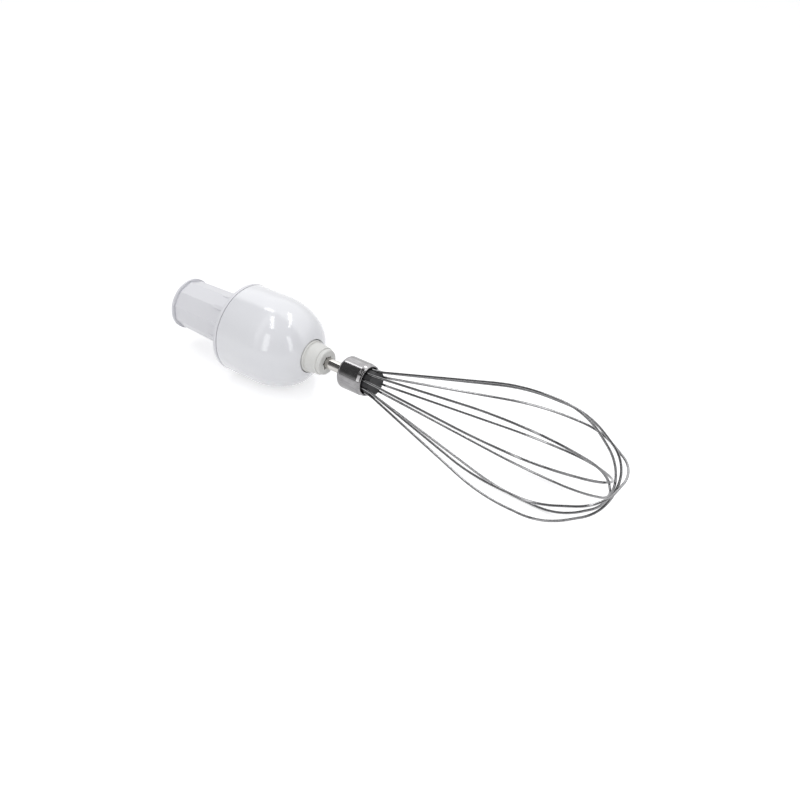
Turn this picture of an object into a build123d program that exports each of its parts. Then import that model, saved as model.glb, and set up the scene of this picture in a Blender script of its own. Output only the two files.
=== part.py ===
from build123d import *
import os
from math import acos, cos, degrees, pi, radians, sin, sqrt, tan

# Immersion blender whisk attachment, lying on its side.
# The origin is the centre of the coupling neck's open end. +X runs along the spin axis to
# the tip of the whisk and +Z is up. All sizes are in millimetres and all angles in degrees.

# Clearances and plays
running = 0.05            # radial, between parts that turn or slide on each other
end_play = 0.2            # along the axis, between parts that turn
collar_gap = 0.5          # radial, the dark ring between the collar's flange and the housing
seam_gap = 0.4            # along the axis, the dark line between back plate and housing

# Coupling neck and back plate, moulded in one piece
neck_length = 43.4        # from the open end to the back plate
neck_sides = 10
neck_turn = 16.5          # angle of a corner from +Y
neck_end_radius = 13.9    # over the corners, beside the rim
neck_root_radius = 15.2   # over the corners, at the back plate
neck_bore_radius = 11.4
neck_bore_depth = 40.6
rim_radius = 14.6
rim_width = 1.2
groove_width = 0.9
groove_radius = 12.6
wedge_length = 15.0       # rib on each corner, rising towards the back plate
wedge_width = 2.0
wedge_rise = 0.8
plate_thickness = 1.9
spigot_length = 4.0
spigot_wall = 2.0
boss_radius = 6.4         # holds the input bush
boss_length = 5.0

# Domed gear housing
housing_wall = 2.2
straight_length = 20.0    # from the seam to where the nose starts to close
crown_radius = 37.0       # first arc of the nose's profile, tangent to the straight wall
crown_angle = 28.0
nose_radius = 22.1        # second arc, tangent to the first
hole_radius = 9.45
hole_depth = 3.8
nose_web = 1.0            # thickness of the ring that stops the nose bush
nose_lip = 1.0            # how far that ring reaches over the bush
ring_ledge = 1.4          # step that stops the ring gear
ledge_length = 1.6

# Planetary gear train
tooth_module = 0.7
sun_teeth = 12
planet_teeth = 21
planet_count = 3
pressure_angle = 20.0
addendum = 0.9            # times the module
dedendum = 1.2            # times the module
backlash = 0.12           # at the pitch circle
undercut = 0.12           # relief at the root of an outside tooth, on each side
gear_width = 8.0
ring_gear_width = 8.6
ring_rim = 3.06           # from the bottom of the ring gear's teeth to the housing's wall
first_planet_angle = 90.0

# Input shaft, bush and drive coupling
input_radius = 2.0
bush_wall = 1.8
bush_flange = 1.2
bush_flange_radius = 5.2
washer_thickness = 0.8
washer_radius = 4.6
clip_thickness = 0.7
clip_radius = 3.3
clip_groove_depth = 0.4
coupling_radius = 6.2
coupling_length = 20.0
coupling_start = 12.0
socket_radius = 3.2
socket_depth = 9.0
coupling_floor = 2.0      # between the drive socket and the input shaft's end
key_count = 3
key_width = 1.4
key_depth = 1.3

# Planet cage, its stub and the output collar
pin_radius = 1.6
cage_plate_thickness = 2.4
carrier_thickness = 3.0
carrier_margin = 3.2      # material outside the pins
post_radius = 2.4
stub_radius = 6.0
shoulder_radius = 7.4
bearing_length = 8.0
bearing_wall = 2.2
thrust_thickness = 0.8
bearing_boss_wall = 2.0
hex_socket_length = 13.0
hex_socket_start = 81.0
pilot_depth = 6.0
flange_proud = 0.8        # how far the collar's flange stands out of the housing
flange_step = 0.7
flange_edge = 0.3         # rounding of the flange
step_length = 0.9
collar_root_radius = 8.3
collar_tip_radius = 7.7
collar_reach = 8.2        # from the housing's hole to the end of the tapered part
collar_nose_radius = 7.0
collar_nose_length = 2.4
nose_edge = 0.8           # rounding of the nose's face
collar_edge = 0.4         # rounding where the tapered part ends
mouth_margin = 0.3        # radial, between the collar's mouth and the shaft
star_radius = 4.3         # points of the mouth
star_depth = 2.6
star_turn = 45.0          # angle of a point from +Y

# Whisk shaft, ferrule and wire hub
shaft_radius = 3.0
shaft_lead_in = 0.6
shaft_end_gap = 0.5       # between the shaft's end and the bottom of the hexagonal socket
hex_end_margin = 0.5      # how far the hexagon goes beyond the hexagonal socket
ferrule_start = 115.8
ferrule_length = 16.2
ferrule_radius = 8.9
ferrule_wall = 0.8
ferrule_shoulder = 2.6
crimp_length = 2.5        # front end, pressed in over the hub
crimp_depth = 0.5
crimp_bend_radius = 0.8
lip_length = 1.0          # straight lip in front of the crimp
lip_edge = 0.35
hub_recess = 3.8          # from the ferrule's front edge to the hub's face
hub_seat_depth = 9.4      # how far the shaft goes into the hub
hub_boss_reach = 4.0      # beyond the ferrule's front edge
wire_hole_depth = 8.0

# Balloon of nested wire loops
loop_turn = 4.0           # angle of the outermost loop's plane from +Y, at the hub
wire_radius = 0.65
wire_ring_radius = 6.6    # at the hub
flare_bend_radius = 30.0
belly_radius = 28.5       # middle of the wire at the widest part
flare_length = 80.0       # from the hub's end to where the flare would meet the widest part
belly_bend_radius = 115.0
belly_length = 34.5       # widest part, between the corners of its bends
belly_end_bend_radius = 42.0
tip_length = 27.1         # from there to the middle of the wire at the outermost loop's tip
tip_half_width = 12.0      # from the middle of the tip to the corner of its bend
tip_bend_radius = 20.0
nest_gap = 0.3            # along the axis, between one loop's tip and the next

# The loops are bent by hand, so each stands a little differently, from the outermost in: the
# belly's angle and its radius as a share of belly_radius, on one side and on the other, then
# the tip's share of tip_half_width and its lean in degrees
loop_bends = (
    (6, 1.105, 188, 1.0, 1.25, 1.0),
    (52, 0.958, 226, 1.018, 1.04, -3.4),
    (63, 0.993, 260, 0.947, 0.875, -4.8),
    (121, 0.989, 301, 1.035, 1.0, 0.0),
    (148, 1.07, 333, 1.053, 1.0, -2.8),
)

# Counts, radii and gear sizes that follow from the sizes above
loop_count = len(loop_bends)
ring_teeth = sun_teeth + 2 * planet_teeth
sun_pitch = tooth_module * sun_teeth / 2
planet_pitch = tooth_module * planet_teeth / 2
ring_pitch = tooth_module * ring_teeth / 2
pin_circle = sun_pitch + planet_pitch
housing_bore = ring_pitch + dedendum * tooth_module + ring_rim
housing_radius = housing_bore + housing_wall
flange_radius = hole_radius - collar_gap
bush_radius = input_radius + running + bush_wall
bearing_radius = stub_radius + running + bearing_wall
bearing_boss_radius = bearing_radius + bearing_boss_wall
carrier_radius = pin_circle + carrier_margin
hub_radius = ferrule_radius - ferrule_wall
slot_radius = wire_radius + running
nest_step = 2 * wire_radius + nest_gap
planet_angles = [first_planet_angle + 360 * k / planet_count for k in range(planet_count)]
post_angles = [angle + 180 / planet_count for angle in planet_angles]
strand_angles = [loop_turn + 180 * k / loop_count for k in range(2 * loop_count)]

# Places along the axis that follow
plate_x = neck_length
seam_x = plate_x + plate_thickness
housing_x = seam_x + seam_gap
nose_x = seam_x + straight_length
nose_centre_x = nose_x + (crown_radius - nose_radius) * sin(radians(crown_angle))
nose_centre_r = housing_radius - crown_radius + (crown_radius - nose_radius) * cos(radians(crown_angle))
hole_x = nose_centre_x + sqrt(nose_radius ** 2 - (hole_radius - nose_centre_r) ** 2)
spigot_x = seam_x + spigot_length
bore_floor_x = neck_bore_depth
input_start = coupling_start + socket_depth + coupling_floor
boss_x = bore_floor_x - boss_length
cage_x = seam_x + bush_flange + end_play
cage_front_x = cage_x + cage_plate_thickness
planet_x = cage_front_x + end_play
planet_front_x = planet_x + gear_width
ring_front_x = spigot_x + ring_gear_width
carrier_x = planet_front_x + end_play
carrier_front_x = carrier_x + carrier_thickness
bush_front_x = hole_x - hole_depth - nose_web
bearing_x = bush_front_x - bearing_length
shoulder_x = bearing_x - thrust_thickness - end_play
collar_x = hole_x - hole_depth + end_play
flange_x = hole_x + flange_proud
taper_x = flange_x + step_length
collar_nose_x = hole_x + collar_reach
collar_end_x = collar_nose_x + collar_nose_length
stub_end_x = collar_end_x - star_depth
hex_socket_end_x = hex_socket_start + hex_socket_length
shaft_start = hex_socket_start + shaft_end_gap
hex_end_x = hex_socket_end_x + hex_end_margin
ferrule_end = ferrule_start + ferrule_length
crimp_x = ferrule_end - crimp_length
lip_x = ferrule_end - lip_length
hub_x = ferrule_start + ferrule_wall
hub_face_x = ferrule_end - hub_recess
hub_end_x = ferrule_end + hub_boss_reach
shaft_end = hub_x + hub_seat_depth
belly_start = hub_end_x + flare_length
belly_end = belly_start + belly_length
tip_x = belly_end + tip_length


def turned(outline, rounds=None):
    """Solid turned about X from (x, radius) corners; rounds gives a corner's fillet radius."""
    face = make_face(Polyline(*outline, close=True))
    for corner, radius in (rounds or {}).items():
        vertex = face.vertices().sort_by_distance(Vector(*outline[corner]))[0]
        face = fillet(vertex, radius)
    return revolve(Plane.XZ * face, Axis.X)


def rod(radius, start, end):
    """Round bar along X."""
    return extrude(Plane.YZ.offset(start) * Circle(radius), end - start)


def tube(outer, inner, start, end):
    """Round tube along X."""
    return rod(outer, start, end) - rod(inner, start, end)


def prism(sketch, start, end):
    """Sketch in the YZ plane, extruded along X."""
    return extrude(Plane.YZ.offset(start) * sketch, end - start)


def at_angle(solid, angle, radius=0):
    """Solid moved out along +Y by radius and turned about X."""
    return Rot(X=angle) * Pos(Y=radius) * solid


def involute(angle):
    """Involute function of an angle in radians."""
    return tan(angle) - angle


def tooth_half_angle(teeth, radius, thinning):
    """Half of a tooth's width at a radius, as an angle in radians."""
    pitch_radius = tooth_module * teeth / 2
    base_radius = pitch_radius * cos(radians(pressure_angle))
    slope = acos(base_radius / max(radius, base_radius))
    at_pitch = pi / (2 * teeth) - thinning / (2 * pitch_radius)
    return at_pitch + involute(radians(pressure_angle)) - involute(slope)


def gear_face(teeth, root_radius, tip_radius, thinning, relief, first_tooth):
    """Closed outline of a gear, with each flank in two straight parts along the involute."""
    base_radius = tooth_module * teeth / 2 * cos(radians(pressure_angle))
    foot_radius = max(base_radius, root_radius)
    middle_radius = (foot_radius + tip_radius) / 2
    flank = [(radius, tooth_half_angle(teeth, radius, thinning))
             for radius in (foot_radius, middle_radius, tip_radius)]
    if foot_radius > root_radius:
        flank.insert(0, (root_radius, flank[0][1] - relief / root_radius))
    corners = []
    for tooth in range(teeth):
        centre = radians(first_tooth) + 2 * pi * tooth / teeth
        for radius, half in flank:
            corners.append((radius * cos(centre - half), radius * sin(centre - half)))
        for radius, half in reversed(flank):
            corners.append((radius * cos(centre + half), radius * sin(centre + half)))
    return make_face(Polyline(*corners, close=True))


def outside_gear(teeth, first_tooth, start):
    """Gear with outside teeth; first_tooth is the angle of a tooth's centre from +Y."""
    pitch_radius = tooth_module * teeth / 2
    root_radius = pitch_radius - dedendum * tooth_module
    tip_radius = pitch_radius + addendum * tooth_module
    face = gear_face(teeth, root_radius, tip_radius, backlash / 2, undercut, first_tooth)
    return prism(face, start, start + gear_width)


def planet_tooth_angle(angle):
    """Angle of a planet's tooth that meshes with the sun, whose first tooth is at zero."""
    return angle * (1 + sun_teeth / planet_teeth) + 180 + 180 / planet_teeth


def coupling_cover():
    """Ten-sided neck with its rim, the back plate, the spigot and the input bush's boss."""
    body = loft([
        Plane.YZ.offset(rim_width + groove_width) * neck_section(neck_end_radius),
        Plane.YZ.offset(plate_x) * neck_section(neck_root_radius),
    ])
    groove = rod(groove_radius, rim_width, rim_width + groove_width)
    rim = rod(rim_radius, 0, rim_width)
    plate = rod(housing_radius, plate_x, seam_x)
    spigot = tube(housing_bore, housing_bore - spigot_wall, seam_x, spigot_x)
    cover = body + groove + rim + plate + spigot
    for corner in range(neck_sides):
        cover += at_angle(corner_wedge(), neck_turn + 360 * corner / neck_sides)
    hollow = turned([(0, 0), (0, neck_bore_radius), (bore_floor_x, neck_bore_radius),
                     (bore_floor_x, boss_radius), (boss_x, boss_radius), (boss_x, 0)])
    return cover - hollow - rod(bush_radius, boss_x, seam_x)


def neck_section(radius):
    """Section of the neck with its corners at a radius."""
    return RegularPolygon(radius, neck_sides, rotation=neck_turn)


def corner_wedge():
    """Rib on the corner of the neck that lies along +Y."""
    slope = (neck_root_radius - neck_end_radius) / (plate_x - rim_width - groove_width)
    start_radius = neck_root_radius - slope * wedge_length
    foot_radius = neck_bore_radius + 1
    outline = Polyline(
        (plate_x - wedge_length, foot_radius),
        (plate_x - wedge_length, start_radius),
        (plate_x, neck_root_radius + wedge_rise),
        (plate_x, foot_radius),
        close=True,
    )
    return extrude(Plane.XY * make_face(outline), wedge_width / 2, both=True)


def nose_arcs(inset, end_radius):
    """Two tangent arcs of the nose profile, set in from the outside, down to end_radius."""
    crown = JernArc((nose_x, housing_radius - inset), (1, 0), crown_radius - inset, -crown_angle)
    end_angle = degrees(acos((end_radius - nose_centre_r) / (nose_radius - inset)))
    nose = JernArc(crown @ 1, crown % 1, nose_radius - inset, crown_angle - end_angle)
    return crown, nose


def gear_housing():
    """Domed shell with the ring gear's seat and the boss that holds the nose bush."""
    outside = nose_arcs(0, hole_radius)
    inside = nose_arcs(housing_wall, bearing_boss_radius)
    ledge_x = ring_front_x + ledge_length
    lip_radius = bearing_radius - nose_lip
    rear = Polyline(
        (nose_x, housing_bore),
        (ledge_x, housing_bore),
        (ledge_x, housing_bore - ring_ledge),
        (ring_front_x, housing_bore - ring_ledge),
        (ring_front_x, housing_bore),
        (housing_x, housing_bore),
        (housing_x, housing_radius),
        (nose_x, housing_radius),
    )
    front = Polyline(
        (hole_x, hole_radius),
        (hole_x - hole_depth, hole_radius),
        (hole_x - hole_depth, lip_radius),
        (bush_front_x, lip_radius),
        (bush_front_x, bearing_radius),
        (bearing_x, bearing_radius),
        (bearing_x, bearing_boss_radius),
        inside[1] @ 1,
    )
    profile = make_face([*rear.edges(), *outside, *front.edges(), *inside])
    return revolve(Plane.XZ * profile, Axis.X)


def ring_gear():
    """Fixed gear with inside teeth, pressed into the housing."""
    root_radius = ring_pitch + dedendum * tooth_module
    tip_radius = ring_pitch - addendum * tooth_module
    first_space = first_planet_angle * (1 + sun_teeth / ring_teeth) + 180 * (planet_teeth + 1) / ring_teeth
    space = gear_face(ring_teeth, tip_radius, root_radius, -backlash / 2, 0, first_space)
    return rod(housing_bore, spigot_x, ring_front_x) - prism(space, spigot_x, ring_front_x)


def input_bush():
    """Flanged bush in the cover's boss."""
    sleeve = tube(bush_radius, input_radius + running, boss_x, seam_x)
    flange = tube(bush_flange_radius, input_radius + running, seam_x, seam_x + bush_flange)
    return sleeve + flange


def input_washer():
    """Thrust washer between the bush and the retaining clip."""
    return tube(washer_radius, input_radius + running, boss_x - washer_thickness, boss_x)


def clip_place():
    """Start of the retaining clip along the axis."""
    return boss_x - washer_thickness - end_play - clip_thickness


def input_clip():
    """Open retaining ring in the input shaft's groove."""
    start = clip_place()
    ring = tube(clip_radius, input_radius - clip_groove_depth, start, start + clip_thickness)
    mouth = Box(clip_thickness, clip_radius, input_radius)
    return ring - Pos(start + clip_thickness / 2, clip_radius, 0) * mouth


def input_shaft():
    """Steel shaft from the drive coupling to the pilot bearing in the carrier."""
    end = carrier_x + pilot_depth - end_play
    shaft = rod(input_radius, input_start, end)
    start = clip_place()
    groove = tube(input_radius, input_radius - clip_groove_depth, start, start + clip_thickness)
    shaft = chamfer(shaft.edges(), input_radius / 6)
    return shaft - groove


def input_coupling():
    """Drive coupling on the input shaft, with a keyed socket open towards the neck's mouth."""
    body = rod(coupling_radius, coupling_start, coupling_start + coupling_length)
    body = chamfer(body.edges(), coupling_radius / 10)
    body -= rod(socket_radius, coupling_start, coupling_start + socket_depth)
    key = Box(socket_depth, socket_radius + key_depth, key_width, align=(Align.MIN, Align.MIN, Align.CENTER))
    for k in range(key_count):
        body -= at_angle(Pos(X=coupling_start) * key, first_planet_angle + 360 * k / key_count)
    return body - rod(input_radius, input_start, coupling_start + coupling_length)


def sun_gear():
    """Pinion pressed on the input shaft."""
    return outside_gear(sun_teeth, 0, planet_x) - rod(input_radius, planet_x, planet_front_x)


def planet_gear(angle):
    """Planet that turns on its pin between sun and ring."""
    gear = outside_gear(planet_teeth, planet_tooth_angle(angle) - angle, planet_x)
    gear -= rod(pin_radius + running, planet_x, planet_front_x)
    return at_angle(gear, angle, pin_circle)


def planet_pin(angle):
    """Pin that carries one planet, pressed into the cage plate and the carrier."""
    pin = rod(pin_radius, cage_x + end_play, carrier_front_x - end_play)
    return at_angle(pin, angle, pin_circle)


def cage_plate():
    """Rear plate of the planet cage."""
    plate = rod(carrier_radius, cage_x, cage_front_x)
    plate -= rod(input_radius + 1, cage_x, cage_front_x)
    for angle in planet_angles:
        plate -= at_angle(rod(pin_radius, cage_x + end_play, cage_front_x), angle, pin_circle)
    return plate


def hexagon(flat_radius):
    """Hexagon with its flats at a distance from the axis."""
    return RegularPolygon(flat_radius, 6, major_radius=False)


def planet_carrier():
    """Front disc of the planet cage, its posts and the hollow stub that drives the whisk."""
    body = turned([(carrier_x, 0), (carrier_x, carrier_radius), (carrier_front_x, carrier_radius),
                   (carrier_front_x, shoulder_radius), (shoulder_x, shoulder_radius),
                   (shoulder_x, stub_radius), (stub_end_x, stub_radius), (stub_end_x, 0)])
    for angle in post_angles:
        body += at_angle(rod(post_radius, cage_front_x, carrier_x), angle, pin_circle)
    body -= rod(input_radius + running, carrier_x, carrier_x + pilot_depth)
    for angle in planet_angles:
        body -= at_angle(rod(pin_radius, carrier_x, carrier_front_x - end_play), angle, pin_circle)
    flats = shaft_radius * cos(pi / 6) + running
    body -= prism(hexagon(flats), hex_socket_start, hex_socket_end_x)
    return body - rod(shaft_radius + running, hex_socket_end_x, stub_end_x)


def thrust_washer():
    """Washer between the stub's shoulder and the nose bush."""
    return tube(shoulder_radius, stub_radius + running, shoulder_x, shoulder_x + thrust_thickness)


def nose_bush():
    """Plain bearing in the housing's nose."""
    return tube(bearing_radius, stub_radius + running, bearing_x, bush_front_x)


def output_collar():
    """Collar pressed on the stub, with its flange in the housing's hole and a star-shaped mouth."""
    outline = [
        (collar_x, stub_radius),
        (collar_x, flange_radius),
        (flange_x, flange_radius),
        (flange_x, flange_radius - flange_step),
        (taper_x, collar_root_radius - flange_step),
        (taper_x, collar_root_radius),
        (collar_nose_x, collar_tip_radius),
        (collar_nose_x, collar_nose_radius),
        (collar_end_x, collar_nose_radius),
        (collar_end_x, 0),
        (stub_end_x, 0),
        (stub_end_x, stub_radius),
    ]
    collar = turned(outline, {2: flange_edge, 6: collar_edge, 8: nose_edge})
    triangles = [RegularPolygon(star_radius, 3, rotation=star_turn + turn) for turn in (0, 60)]
    star = Sketch() + Circle(shaft_radius + mouth_margin) + triangles
    return collar - prism(star, stub_end_x, collar_end_x)


def whisk_shaft():
    """Steel shaft with a hexagonal driving end."""
    tip = prism(hexagon(shaft_radius * cos(pi / 6)), shaft_start, hex_end_x)
    tip = chamfer(tip.faces().sort_by(Axis.X)[0].edges(), shaft_lead_in)
    return tip + rod(shaft_radius, hex_end_x, shaft_end)


def ferrule():
    """Chrome cup over the wire hub, with its front edge pressed in."""
    inner = ferrule_radius - ferrule_wall
    outline = [
        (ferrule_start, shaft_radius),
        (ferrule_start, ferrule_radius),
        (crimp_x, ferrule_radius),
        (lip_x, ferrule_radius - crimp_depth),
        (ferrule_end, ferrule_radius - crimp_depth),
        (ferrule_end, inner - crimp_depth),
        (lip_x, inner - crimp_depth),
        (crimp_x, inner),
        (hub_x, inner),
        (hub_x, shaft_radius),
    ]
    return turned(outline, {1: ferrule_shoulder, 2: crimp_bend_radius, 4: lip_edge})


def wire_hub():
    """Plastic hub with a hole and a slot for each strand of wire."""
    inset = ferrule_shoulder - ferrule_wall
    outline = [
        (hub_x, 0),
        (hub_x, hub_radius - inset),
        (hub_x + inset, hub_radius),
        (hub_face_x, hub_radius),
        (hub_face_x, wire_ring_radius),
        (hub_end_x, wire_ring_radius),
        (hub_end_x, 0),
    ]
    hub = turned(outline) - rod(shaft_radius, hub_x, shaft_end)
    hole = rod(wire_radius, hub_face_x - wire_hole_depth, hub_face_x)
    slot = rod(slot_radius, hub_face_x, hub_end_x)
    for angle in strand_angles:
        hub -= at_angle(hole, angle, wire_ring_radius)
        hub -= at_angle(slot, angle, wire_ring_radius)
    return hub


def around(x, radius, angle):
    """Point at a radius from the axis and at an angle from +Y."""
    return Vector(x, radius * cos(radians(angle)), radius * sin(radians(angle)))


def half_loop(number, hub_angle, belly_angle, belly_share, tip_share, lean):
    """Corners of half a wire loop, from its hole in the hub to the end of its tip."""
    crown_x = tip_x - nest_step * number
    widest = belly_radius * belly_share
    sideways = (crown_x - belly_end) * tan(radians(lean))
    return [
        around(hub_face_x - wire_hole_depth, wire_ring_radius, hub_angle),
        around(hub_end_x, wire_ring_radius, hub_angle),
        around(belly_start, widest, belly_angle),
        around(belly_end, widest, belly_angle),
        around(crown_x, tip_half_width * tip_share, hub_angle)
        + around(0, sideways, strand_angles[number] + 90),
    ]


def fitting(corners, radii):
    """Radii for the inner corners, smaller where two bends would meet on the run between them."""
    runs = [end - start for start, end in zip(corners, corners[1:])]
    tangents = [radius * tan(radians(before.get_angle(after) / 2))
                for radius, before, after in zip(radii, runs, runs[1:])]
    fitted = list(radii)
    for k, run in enumerate(runs[1:-1]):
        share = 0.999 * run.length / (tangents[k] + tangents[k + 1])
        if share < 1:
            fitted[k] = min(fitted[k], radii[k] * share)
            fitted[k + 1] = min(fitted[k + 1], radii[k + 1] * share)
    return fitted


def wire_loop(number):
    """One loop of wire, from its hole in the hub round the tip and back."""
    first_angle, first_share, second_angle, second_share, tip_share, lean = loop_bends[number]
    start_angle = strand_angles[number]
    first = half_loop(number, start_angle, first_angle, first_share, tip_share, lean)
    second = half_loop(number, start_angle + 180, second_angle, second_share, tip_share, lean)
    bends = [flare_bend_radius, belly_bend_radius, belly_end_bend_radius, tip_bend_radius]
    corners = [*first, *reversed(second)]
    path = FilletPolyline(*corners, radius=fitting(corners, [*bends, *reversed(bends)]))
    section = Plane(origin=path @ 0, z_dir=path % 0) * Circle(wire_radius)
    return sweep(section, path=path)


def save(name, solid):
    """Writes one piece to its own file."""
    solid.label = name
    export_step(solid, os.path.join("parts", name + ".step"))


os.makedirs("parts", exist_ok=True)
pieces = {
    "coupling_cover": coupling_cover(),
    "gear_housing": gear_housing(),
    "ring_gear": ring_gear(),
    "input_bush": input_bush(),
    "input_washer": input_washer(),
    "input_clip": input_clip(),
    "input_shaft": input_shaft(),
    "input_coupling": input_coupling(),
    "sun_gear": sun_gear(),
    "cage_plate": cage_plate(),
    "planet_carrier": planet_carrier(),
    "thrust_washer": thrust_washer(),
    "nose_bush": nose_bush(),
    "output_collar": output_collar(),
    "whisk_shaft": whisk_shaft(),
    "ferrule": ferrule(),
    "wire_hub": wire_hub(),
}
for k, angle in enumerate(planet_angles, start=1):
    pieces[f"planet_gear_{k}"] = planet_gear(angle)
    pieces[f"planet_pin_{k}"] = planet_pin(angle)
for number in range(loop_count):
    pieces[f"wire_loop_{number + 1}"] = wire_loop(number)
for name, solid in pieces.items():
    save(name, solid)
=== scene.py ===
from math import acos, atan2, cos, degrees, pi, radians, sin, tan

import bmesh
import bpy
from mathutils import Matrix, Vector


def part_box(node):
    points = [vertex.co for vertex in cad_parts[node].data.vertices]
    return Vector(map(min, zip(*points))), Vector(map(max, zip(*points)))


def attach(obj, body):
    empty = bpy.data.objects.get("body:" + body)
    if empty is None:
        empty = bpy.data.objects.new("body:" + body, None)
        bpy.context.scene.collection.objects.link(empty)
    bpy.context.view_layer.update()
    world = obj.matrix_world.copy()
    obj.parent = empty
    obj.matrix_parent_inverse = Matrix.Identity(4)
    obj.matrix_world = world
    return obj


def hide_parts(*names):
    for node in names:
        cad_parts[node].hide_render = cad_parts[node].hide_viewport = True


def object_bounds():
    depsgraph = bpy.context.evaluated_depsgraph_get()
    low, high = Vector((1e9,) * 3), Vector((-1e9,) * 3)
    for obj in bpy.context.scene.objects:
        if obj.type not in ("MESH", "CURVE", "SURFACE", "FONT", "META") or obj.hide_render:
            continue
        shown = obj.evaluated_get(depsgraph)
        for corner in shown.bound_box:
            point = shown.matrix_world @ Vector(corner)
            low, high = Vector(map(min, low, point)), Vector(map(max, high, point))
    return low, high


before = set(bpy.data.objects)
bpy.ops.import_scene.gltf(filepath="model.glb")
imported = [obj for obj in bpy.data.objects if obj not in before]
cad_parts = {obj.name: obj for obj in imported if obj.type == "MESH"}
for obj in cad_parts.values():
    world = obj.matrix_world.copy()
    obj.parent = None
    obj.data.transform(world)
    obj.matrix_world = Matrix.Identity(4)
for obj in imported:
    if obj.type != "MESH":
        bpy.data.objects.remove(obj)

cad_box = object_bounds()

# The frame's X runs along the spin axis from the coupling neck to the tip of the whisk, and Z is
# up. Sizes are in millimetres where a name ends in _MM or _mm, and in metres elsewhere. Angles are
# in degrees in the constants.
MM = 0.001

# Camera, as fitted to the photograph
IMAGE_PX = 800
FOCAL_PX = 1184.6
SENSOR_MM = 36.0
CAMERA_PLACE = (0.4555, -0.3934, 0.3410)
CAMERA_FORWARD = (-0.5023, 0.6506, -0.5697)
CLIP_START = 0.01
CLIP_END = 20.0

# The housing's place in the frame
HOUSING_LOW, HOUSING_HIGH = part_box("gear_housing")

# Domed housing: the profile of its nose, its wall, the hole for the collar with the lip behind it,
# the boss around the seat of the bush, its small edges, and how finely it is turned
STRAIGHT_MM = 19.6
CROWN_MM = 37.0
CROWN_DEGREES = 28.0
CROWN_STEPS = 12
NOSE_MM = 22.1
NOSE_STEPS = 24
WALL_MM = 2.2
HOLE_MM = 9.45
HOLE_DEPTH_MM = 3.8
LIP_MM = 7.25
LIP_LENGTH_MM = 1.0
BUSH_MM = 8.25
BOSS_MM = 10.25
BOSS_LENGTH_MM = 9.0
EDGE_MM = 0.25
EDGE_STEP = 30.0
DOME_SEGMENTS = 256

# Chrome ferrule: its bore for the shaft, its wall, its rounded back, the crimp and lip in front,
# the distance from a bend at which an extra ring keeps the side's shading even, and how finely it
# is turned
SHAFT_MM = 3.0
CUP_WALL_MM = 0.8
SHOULDER_MM = 2.6
CRIMP_MM = 2.5
CRIMP_DEPTH_MM = 0.5
CRIMP_BEND_MM = 0.8
FRONT_MM = 1.0
FRONT_BEND_MM = 0.5
FRONT_EDGE_MM = 0.35
SUPPORT_MM = 0.3
BEND_STEP = 5.0
FERRULE_SEGMENTS = 192

# Angle above which a turned edge stays sharp
SHARP_EDGE = 32.0

# Rounding of CAD edges: its width for each node, the angle above which an edge gets it, the
# segments of each bend, and how near to each other points are taken as one
SOFT_NODES_MM = {"output_collar": 0.15, "wire_hub": 0.12}
SOFT_EDGE = 40.0
SOFT_SEGMENTS = 3
WELD_GAP = 1e-6

# Floor: where the dome rests on it from the housing's back, and the whisk, its gap and its size,
# its two whites and their features per metre, and the glow that camera and reflections see
DOME_REST = 0.019
WHISK_REST_X = 0.235
FLOOR_GAP = 0.0002
FLOOR_RADIUS = 4.0
FLOOR_SEGMENTS = 96
FLOOR_WHITES = ((0.88, 0.88, 0.88), (0.90, 0.90, 0.90))
FLOOR_SCALE = 25.0
FLOOR_ROUGHNESS = 0.9
FLOOR_SPECULAR = 0.1
FLOOR_GLOW = 0.46

# Between these two values lies most of what a noise texture gives
NOISE_RANGE = (0.3, 0.7)

# Plastic: features per metre of its colour drift, uneven gloss and moulded waves, and their height
DRIFT_SCALE = 45.0
GLOSS_SCALE = 260.0
WAVE_SCALE = 90.0
WAVE_HEIGHT = 0.00002
PLASTIC_IOR = 1.5
COAT_ROUGHNESS = 0.04

# Metal: how much of its tone comes from the brushing and how much from the drift, and the values
# of their sum between which the tone goes from dark to light
BRUSH_SHARE = 0.6
DRIFT_SHARE = 0.4
TONE_RANGE = (0.35, 0.65)

# The studio in reflections. Rows of four map a share of a direction, from start to end, to a
# brightness, from low to high: the white side that the camera looks towards, its gain overhead,
# and the dark side's paler low part. The band starts, is full, ends being full and ends.
REAR_GLOW = (0.10, 0.30, 0.06, 1.1)
OVERHEAD_GAIN = (0.15, 0.50, 1.0, 1.65)
LOW_GLOW = (0.0, 0.45, 0.62, 0.12)
BAND = (0.30, 0.34, 0.39, 0.43)
BAND_GLOW = 0.9

# The soft light on the part, from the horizon to overhead
SOFT_COLOUR = (0.975, 0.98, 1.0)
SOFT_GLOW = (0.0, 1.0, 0.26, 0.72)

# Lamps: what each faces, its place from there, the direction of its long side, its width and
# length, and its radiance
DOME_FOCUS = (0.078, -0.010, 0.018)
FERRULE_FOCUS = (0.120, 0.0, 0.0)
LAMPS = {
    "strip_a_top": (DOME_FOCUS, (-0.06, -0.14, 0.60), (0.43, -0.90, 0), 0.065, 0.34, 6.0),
    "strip_b_top": (DOME_FOCUS, (0.12, 0.20, 0.60), (0.63, -0.78, 0), 0.065, 0.50, 6.0),
    "strip_a_low": (DOME_FOCUS, (0.02, -0.60, 0.28), (0, 0, 1), 0.12, 0.50, 2.7),
    "strip_b_low": (DOME_FOCUS, (0.56, -0.24, 0.30), (0, 0, 1), 0.12, 0.50, 2.7),
    "metal_line": (FERRULE_FOCUS, (-0.25, 0.09, 0.44), (1, 0, 0), 0.06, 0.14, 4.0),
}


# Objects and meshes

def add_object(name, data):
    """New object in the scene for a mesh, a lamp or a camera."""
    thing = bpy.data.objects.new(name, data)
    bpy.context.scene.collection.objects.link(thing)
    return thing


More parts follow.
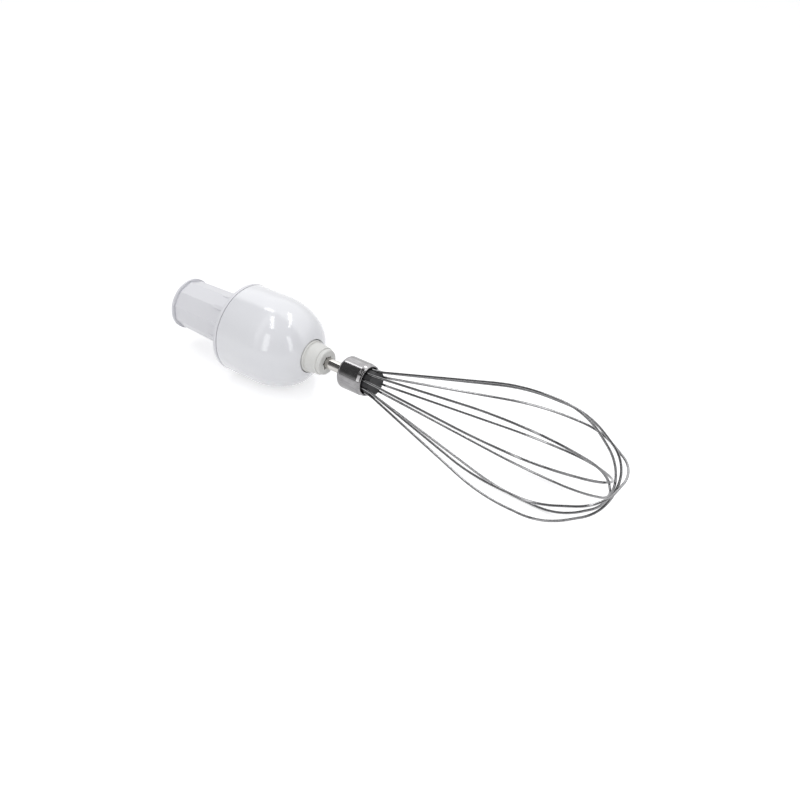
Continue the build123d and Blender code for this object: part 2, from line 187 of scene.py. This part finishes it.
def aim(thing, right, up, back, centre):
    """Places an object with its own X, Y and Z along three directions."""
    rows = [(right[k], up[k], back[k], centre[k]) for k in range(3)]
    thing.matrix_world = Matrix((*rows, (0, 0, 0, 1)))


def add_piece(name, mesh, material, body, nodes):
    """Adds a piece with a material that rides on a body and stands for CAD nodes, which it hides.
    """
    piece = add_object(name, mesh)
    piece.data.materials.append(material)
    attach(piece, body)
    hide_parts(*nodes)


def smooth_by_angle(mesh, angle):
    """Shades a mesh smooth, apart from edges that are sharper than an angle in degrees."""
    grid = bmesh.new()
    grid.from_mesh(mesh)
    for face in grid.faces:
        face.smooth = True
    for edge in grid.edges:
        if len(edge.link_faces) == 2:
            edge.smooth = edge.calc_face_angle(0.0) < radians(angle)
    grid.to_mesh(mesh)
    grid.free()


def rounded(corners, radii, step):
    """Outline of (x, r) corners, with arcs of a radius at some of them by their place in the list.

    The points of an arc are a step of degrees apart.
    """
    points = []
    for index, corner in enumerate(corners):
        radius = radii.get(index, 0.0)
        if radius <= 0.0:
            points.append(corner)
            continue
        here = Vector(corner)
        back = (Vector(corners[index - 1]) - here).normalized()
        ahead = (Vector(corners[(index + 1) % len(corners)]) - here).normalized()
        inside = acos(max(-1.0, min(1.0, back.dot(ahead))))
        reach = radius * tan((pi - inside) / 2)
        start = here + back * reach
        end = here + ahead * reach
        centre = here + (back + ahead).normalized() * (radius / sin(inside / 2))
        first = atan2(start.y - centre.y, start.x - centre.x)
        swing = (atan2(end.y - centre.y, end.x - centre.x) - first + pi) % (2 * pi) - pi
        count = max(2, int(abs(degrees(swing)) / step) + 1)
        for k in range(count + 1):
            angle = first + swing * k / count
            points.append((centre.x + radius * cos(angle), centre.y + radius * sin(angle)))
    return points


def lathe(name, outline, segments):
    """Closed mesh turned about X from an outline of (x, r) points in millimetres."""
    grid = bmesh.new()
    rings = []
    for x, r in outline:
        ring = []
        for k in range(segments):
            angle = 2 * pi * k / segments
            ring.append(grid.verts.new((x * MM, r * cos(angle) * MM, r * sin(angle) * MM)))
        rings.append(ring)
    for ring, following in zip(rings, rings[1:] + rings[:1]):
        for k in range(segments):
            j = (k + 1) % segments
            grid.faces.new((ring[k], ring[j], following[j], following[k]))
    bmesh.ops.recalc_face_normals(grid, faces=grid.faces)
    mesh = bpy.data.meshes.new(name)
    grid.to_mesh(mesh)
    grid.free()
    smooth_by_angle(mesh, SHARP_EDGE)
    return mesh


def soften(node, width_mm):
    """Rounds the sharp edges of a CAD node with modifiers, which leave its mesh as it is."""
    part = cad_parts[node]
    weld = part.modifiers.new("weld", "WELD")
    weld.merge_threshold = WELD_GAP
    bevel = part.modifiers.new("bevel", "BEVEL")
    bevel.width = width_mm * MM
    bevel.segments = SOFT_SEGMENTS
    bevel.limit_method = "ANGLE"
    bevel.angle_limit = radians(SOFT_EDGE)
    bevel.harden_normals = False
    bevel.use_clamp_overlap = True


# Node trees

class Graph:
    """A node tree with the few calls that the materials and the world need."""

    def __init__(self, tree):
        self.tree = tree

    def node(self, kind, **settings):
        """New node with its settings."""
        made = self.tree.nodes.new(kind)
        for key, value in settings.items():
            setattr(made, key, value)
        return made

    def link(self, source, target):
        """Links an output to an input."""
        self.tree.links.new(source, target)

    def maths(self, operation, *values):
        """Result of a calculation with values, each a number or an output."""
        made = self.node("ShaderNodeMath", operation=operation)
        for socket, value in zip(made.inputs, values):
            if isinstance(value, float):
                socket.default_value = value
            else:
                self.link(value, socket)
        return made.outputs["Value"]

    def map(self, value, start, end, low, high, kind="LINEAR"):
        """Value mapped from start..end to low..high."""
        mapped = self.node("ShaderNodeMapRange", interpolation_type=kind)
        mapped.inputs["From Min"].default_value = start
        mapped.inputs["From Max"].default_value = end
        mapped.inputs["To Min"].default_value = low
        mapped.inputs["To Max"].default_value = high
        self.link(value, mapped.inputs["Value"])
        return mapped.outputs["Result"]

    def glow(self, kind, colour, strength):
        """Emission or background of a colour and a strength, each a value or an output."""
        made = self.node(kind)
        for name, value in (("Color", colour), ("Strength", strength)):
            if isinstance(value, bpy.types.NodeSocket):
                self.link(value, made.inputs[name])
            else:
                made.inputs[name].default_value = value
        return made.outputs[0]

    def mix(self, share, first, second):
        """Shader between two shaders."""
        made = self.node("ShaderNodeMixShader")
        for socket, source in zip(made.inputs, (share, first, second)):
            self.link(source, socket)
        return made.outputs["Shader"]

    def any_ray(self, *kinds):
        """One where a ray is of one of Light Path's kinds, and zero elsewhere."""
        rays = self.node("ShaderNodeLightPath").outputs
        found = rays[kinds[0]]
        for kind in kinds[1:]:
            found = self.maths("MAXIMUM", found, rays[kind])
        return found


class Surface(Graph):
    """A new material's node tree, around its Principled shader."""

    def __init__(self, name):
        self.material = bpy.data.materials.new(name)
        self.material.use_nodes = True
        super().__init__(self.material.node_tree)
        self.shader = self.tree.nodes["Principled BSDF"]
        self.place = self.node("ShaderNodeTexCoord").outputs["Object"]

    def noise(self, scale, detail, roughness=0.5, stretch=(1, 1, 1)):
        """Noise value at a scale in features per metre, stretched along the axes."""
        mapping = self.node("ShaderNodeMapping")
        mapping.inputs["Scale"].default_value = stretch
        self.link(self.place, mapping.inputs["Vector"])
        texture = self.node("ShaderNodeTexNoise")
        texture.inputs["Scale"].default_value = scale
        texture.inputs["Detail"].default_value = detail
        texture.inputs["Roughness"].default_value = roughness
        self.link(mapping.outputs["Vector"], texture.inputs["Vector"])
        return texture.outputs["Fac"]

    def blend(self, value, first, second, between=NOISE_RANGE):
        """Colour between two colours by a value."""
        ramp = self.node("ShaderNodeValToRGB")
        stops = ramp.color_ramp.elements
        stops[0].position, stops[1].position = between
        stops[0].color, stops[1].color = (*first, 1.0), (*second, 1.0)
        self.link(value, ramp.inputs["Fac"])
        return ramp.outputs["Color"]

    def bump(self, height, distance, strength, normal=None):
        """Bump from a height, with its distance in metres."""
        bump = self.node("ShaderNodeBump")
        bump.inputs["Strength"].default_value = strength
        bump.inputs["Distance"].default_value = distance
        self.link(height, bump.inputs["Height"])
        if normal is not None:
            self.link(normal, bump.inputs["Normal"])
        return bump.outputs["Normal"]

    def feed(self, colour, roughness, normal):
        """Links a colour, a roughness and a normal to the shader."""
        self.link(colour, self.shader.inputs["Base Color"])
        self.link(roughness, self.shader.inputs["Roughness"])
        self.link(normal, self.shader.inputs["Normal"])


# Materials

def plastic(name, light, dark, rough, grain, coat=0.0, grain_height=0.00001):
    """Moulded plastic with slow colour drift, uneven gloss and a fine surface grain."""
    surface = Surface(name)
    drift = surface.noise(DRIFT_SCALE, detail=2.0)
    gloss = surface.noise(GLOSS_SCALE, detail=5.0, roughness=0.65)
    fine = surface.noise(grain, detail=2.0)
    waves = surface.bump(surface.noise(WAVE_SCALE, detail=1.0), WAVE_HEIGHT, strength=0.25)
    surface.feed(surface.blend(drift, dark, light),
                 surface.map(gloss, *NOISE_RANGE, *rough),
                 surface.bump(fine, grain_height, strength=0.3, normal=waves))
    surface.shader.inputs["IOR"].default_value = PLASTIC_IOR
    surface.shader.inputs["Coat Weight"].default_value = coat
    surface.shader.inputs["Coat Roughness"].default_value = COAT_ROUGHNESS
    return surface.material


def metal(name, light, dark, rough, brush, brush_scale=900.0, brush_height=0.000006,
          tone_scale=150.0):
    """Metal with drifting tone and brushing, whose lines are stretched along the given axes."""
    surface = Surface(name)
    lines = surface.noise(brush_scale, detail=4.0, roughness=0.6, stretch=brush)
    tone = surface.noise(tone_scale, detail=3.0)
    mixed = surface.maths("MULTIPLY_ADD", lines, BRUSH_SHARE,
                          surface.maths("MULTIPLY", tone, DRIFT_SHARE))
    surface.feed(surface.blend(mixed, dark, light, TONE_RANGE),
                 surface.map(lines, *NOISE_RANGE, *rough),
                 surface.bump(lines, brush_height, strength=0.35))
    surface.shader.inputs["Metallic"].default_value = 1.0
    return surface.material


def floor_material():
    """Matte white, which camera and reflections see as white with the part's soft shadow on it."""
    surface = Surface("floor_white")
    grain = surface.noise(FLOOR_SCALE, detail=2.0)
    surface.link(surface.blend(grain, *FLOOR_WHITES), surface.shader.inputs["Base Color"])
    surface.shader.inputs["Roughness"].default_value = FLOOR_ROUGHNESS
    surface.shader.inputs["Specular IOR Level"].default_value = FLOOR_SPECULAR
    matte = surface.shader.outputs["BSDF"]
    both = surface.node("ShaderNodeAddShader")
    surface.link(matte, both.inputs[0])
    surface.link(surface.glow("ShaderNodeEmission", (1, 1, 1, 1), FLOOR_GLOW), both.inputs[1])
    direct = surface.any_ray("Is Camera Ray", "Is Glossy Ray", "Is Transmission Ray")
    surface.link(surface.mix(direct, matte, both.outputs["Shader"]),
                 surface.tree.nodes["Material Output"].inputs["Surface"])
    return surface.material


# The neck is the dome's white plastic with a rougher gloss. Its white is set a little darker than
# the dome's as painted shade, where the housing shades the neck.
neck_shaded_white = plastic("neck_shaded_white", light=(0.82, 0.82, 0.85), dark=(0.81, 0.81, 0.84),
                     rough=(0.30, 0.34), grain=5200.0, grain_height=0.000003)
dome_white = plastic("dome_white", light=(0.85, 0.855, 0.88), dark=(0.835, 0.84, 0.87),
                     rough=(0.10, 0.16), grain=4200.0, coat=0.5, grain_height=0.000003)
collar_white = plastic("collar_white", light=(0.78, 0.78, 0.755), dark=(0.75, 0.75, 0.725),
                       rough=(0.32, 0.45), grain=3600.0, grain_height=0.000012)
nylon = plastic("nylon", light=(0.74, 0.72, 0.65), dark=(0.68, 0.66, 0.59),
                rough=(0.35, 0.50), grain=3600.0)
black_nylon = plastic("black_nylon", light=(0.030, 0.030, 0.032), dark=(0.018, 0.018, 0.020),
                      rough=(0.35, 0.55), grain=3600.0)
hub_black = plastic("hub_black", light=(0.014, 0.014, 0.016), dark=(0.008, 0.008, 0.010),
                    rough=(0.45, 0.60), grain=2600.0, grain_height=0.00002)
bronze = metal("bronze", light=(0.55, 0.40, 0.24), dark=(0.42, 0.30, 0.17),
               rough=(0.30, 0.45), brush=(1, 1, 1))
ground_steel = metal("ground_steel", light=(0.60, 0.585, 0.56), dark=(0.50, 0.485, 0.465),
                     rough=(0.14, 0.24), brush=(8, 1, 1))
ferrule_steel = metal("ferrule_steel", light=(0.33, 0.325, 0.33), dark=(0.23, 0.225, 0.23),
                      rough=(0.11, 0.18), brush=(0.35, 2.2, 2.2), brush_height=0.000003)
wire_steel = metal("wire_steel", light=(0.36, 0.36, 0.365), dark=(0.10, 0.10, 0.105),
                   rough=(0.05, 0.11), brush=(0.3, 2.0, 2.0), brush_scale=1600.0,
                   tone_scale=30.0)

NODES_OF_MATERIALS = (
    (neck_shaded_white, ("coupling_cover",)),
    (dome_white, ("gear_housing",)),
    (collar_white, ("output_collar",)),
    (nylon, ("ring_gear", "planet_gear_1", "planet_gear_2", "planet_gear_3")),
    (black_nylon, ("input_coupling", "cage_plate", "planet_carrier")),
    (hub_black, ("wire_hub",)),
    (bronze, ("input_bush", "thrust_washer", "nose_bush")),
    (ground_steel, ("input_washer", "input_clip", "input_shaft", "sun_gear", "planet_pin_1",
                    "planet_pin_2", "planet_pin_3", "whisk_shaft")),
    (ferrule_steel, ("ferrule",)),
    (wire_steel, ("wire_loop_1", "wire_loop_2", "wire_loop_3", "wire_loop_4", "wire_loop_5")),
)


def dress_nodes():
    """Gives every CAD node its material."""
    for material, nodes in NODES_OF_MATERIALS:
        for node in nodes:
            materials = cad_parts[node].data.materials
            materials.clear()
            materials.append(material)


# Domed housing

def nose_arcs(inset_mm, end_mm):
    """Points of the nose's two tangent arcs, set in from the outside, down to a radius."""
    nose_x = HOUSING_LOW.x / MM + STRAIGHT_MM
    radius = HOUSING_HIGH.y / MM
    bend = radians(CROWN_DEGREES)
    centre_x = nose_x + (CROWN_MM - NOSE_MM) * sin(bend)
    centre_r = radius - CROWN_MM + (CROWN_MM - NOSE_MM) * cos(bend)
    last = acos((end_mm - centre_r) / (NOSE_MM - inset_mm))
    points = []
    for k in range(CROWN_STEPS):
        angle = bend * k / CROWN_STEPS
        reach = CROWN_MM - inset_mm
        points.append((nose_x + reach * sin(angle), radius - CROWN_MM + reach * cos(angle)))
    for k in range(NOSE_STEPS + 1):
        angle = bend + (last - bend) * k / NOSE_STEPS
        reach = NOSE_MM - inset_mm
        points.append((centre_x + reach * sin(angle), centre_r + reach * cos(angle)))
    return points


def add_dome():
    """Smooth shell of the housing, with the CAD node's outside, wall and boss in the nose."""
    back = HOUSING_LOW.x / MM
    radius = HOUSING_HIGH.y / MM
    outside = nose_arcs(0.0, HOLE_MM)
    inside = nose_arcs(WALL_MM, BOSS_MM)
    end = outside[-1][0]
    lip = end - HOLE_DEPTH_MM
    seat = lip - LIP_LENGTH_MM
    boss = lip - BOSS_LENGTH_MM
    wall = [(back, radius - WALL_MM), (back, radius), (back + STRAIGHT_MM / 2, radius)]
    mouth = [(end, HOLE_MM), (lip, HOLE_MM), (lip, LIP_MM), (seat, LIP_MM), (seat, BUSH_MM),
             (boss, BUSH_MM), (boss, BOSS_MM)]
    outline = [*wall, *outside[:-1], *mouth, *reversed(inside)]
    # Corners with a small edge, by their place in the outline
    rim = 1
    hole = len(wall) + len(outside) - 1
    mesh = lathe("dome_shell", rounded(outline, {rim: EDGE_MM, hole: EDGE_MM}, EDGE_STEP),
                 DOME_SEGMENTS)
    add_piece("dome_shell", mesh, dome_white, "gearbox", ("gear_housing",))


# Ferrule

def add_ferrule():
    """Cup with a pressed-in front edge, turned finely for clean lines of light on its bends."""
    low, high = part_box("ferrule")
    start, end, radius = low.x / MM, high.x / MM, high.y / MM
    bore = radius - CUP_WALL_MM
    crimp = end - CRIMP_MM
    front = end - FRONT_MM
    base = start + CUP_WALL_MM
    outline = [
        (start, SHAFT_MM), (start, radius), (start + SHOULDER_MM + SUPPORT_MM, radius),
        (crimp - SUPPORT_MM, radius), (crimp, radius), (front, radius - CRIMP_DEPTH_MM),
        (end, radius - CRIMP_DEPTH_MM), (end, bore - CRIMP_DEPTH_MM),
        (front, bore - CRIMP_DEPTH_MM), (crimp, bore), (base, bore), (base, SHAFT_MM),
    ]
    # Bends by their corner's place in the outline
    bends = {1: SHOULDER_MM, 4: CRIMP_BEND_MM, 5: FRONT_BEND_MM, 6: FRONT_EDGE_MM,
             7: FRONT_EDGE_MM / 2}
    mesh = lathe("ferrule_shell", rounded(outline, bends, BEND_STEP), FERRULE_SEGMENTS)
    add_piece("ferrule_shell", mesh, ferrule_steel, "whisk", ("ferrule",))


# Stage: a pale floor, the studio's surroundings, lamps and the camera

def add_floor():
    """Large round floor that touches the dome and the whisk where the part comes to rest."""
    grid = bmesh.new()
    bmesh.ops.create_circle(grid, cap_ends=True, segments=FLOOR_SEGMENTS, radius=FLOOR_RADIUS)
    mesh = bpy.data.meshes.new("floor")
    grid.to_mesh(mesh)
    grid.free()
    floor = add_object("floor", mesh)
    mesh.materials.append(floor_material())
    dome_x = HOUSING_LOW.x + DOME_REST
    slope = (cad_box[0][2] - HOUSING_LOW.z) / (WHISK_REST_X - dome_x)
    floor.location = (dome_x, 0.0, HOUSING_LOW.z - FLOOR_GAP)
    floor.rotation_euler = (0.0, -atan2(slope, 1.0), 0.0)


def add_world():
    """White to the camera, soft light on the part, and a studio with a dark side in reflections."""
    world = bpy.data.worlds.new("studio")
    bpy.context.scene.world = world
    world.use_nodes = True
    graph = Graph(world.node_tree)
    graph.tree.nodes.clear()

    direction = graph.node("ShaderNodeSeparateXYZ")
    place = graph.node("ShaderNodeTexCoord").outputs["Generated"]
    graph.link(place, direction.inputs["Vector"])
    x, y, z = direction.outputs

    band = graph.node("ShaderNodeValToRGB")
    stops = band.color_ramp.elements
    stops[0].position, stops[1].position = BAND[0], BAND[3]
    stops[0].color = stops[1].color = (0, 0, 0, 1)
    for position in BAND[1:3]:
        stops.new(position).color = (BAND_GLOW, BAND_GLOW, BAND_GLOW, 1)
    graph.link(graph.map(x, -1.0, 1.0, 0.0, 1.0), band.inputs["Fac"])

    rear = graph.map(y, *REAR_GLOW, "SMOOTHSTEP")
    above = graph.map(z, *OVERHEAD_GAIN, "SMOOTHSTEP")
    low = graph.map(z, *LOW_GLOW, "SMOOTHSTEP")
    lit = graph.maths("MULTIPLY", rear, above)
    lit = graph.maths("MAXIMUM", lit, low)
    lit = graph.maths("MAXIMUM", lit, band.outputs["Color"])

    white = graph.glow("ShaderNodeBackground", (1, 1, 1, 1), 1.0)
    soft = graph.glow("ShaderNodeBackground", (*SOFT_COLOUR, 1), graph.map(z, *SOFT_GLOW))
    seen = graph.glow("ShaderNodeBackground", lit, 1.0)
    around = graph.mix(graph.any_ray("Is Glossy Ray"), soft, seen)
    shown = graph.mix(graph.any_ray("Is Camera Ray", "Is Transmission Ray"), around, white)
    graph.link(shown, graph.node("ShaderNodeOutputWorld").inputs["Surface"])


def add_lights():
    """Strips above and low down that the dome reflects, and the line of light on the ferrule."""
    for name, (focus, offset, along, width, length, radiance) in LAMPS.items():
        lamp = bpy.data.lights.new(name, "AREA")
        lamp.shape = "RECTANGLE"
        lamp.size = width
        lamp.size_y = length
        lamp.energy = radiance * pi * width * length
        centre = Vector(focus) + Vector(offset)
        back = (centre - Vector(focus)).normalized()
        up = (Vector(along) - back * Vector(along).dot(back)).normalized()
        aim(add_object(name, lamp), up.cross(back), up, back, centre)


def add_camera():
    """Camera with the photograph's place, direction and field of view, held level."""
    data = bpy.data.cameras.new("camera")
    data.sensor_width = SENSOR_MM
    data.lens = FOCAL_PX / IMAGE_PX * SENSOR_MM
    data.clip_start = CLIP_START
    data.clip_end = CLIP_END
    camera = add_object("camera", data)
    forward = Vector(CAMERA_FORWARD).normalized()
    right = forward.cross(Vector((0, 0, 1))).normalized()
    aim(camera, right, right.cross(forward), -forward, CAMERA_PLACE)
    bpy.context.scene.camera = camera


dress_nodes()
add_dome()
add_ferrule()
for node, width_mm in SOFT_NODES_MM.items():
    soften(node, width_mm)
add_floor()
add_world()
add_lights()
add_camera()
bpy.context.scene.view_settings.view_transform = "Standard"
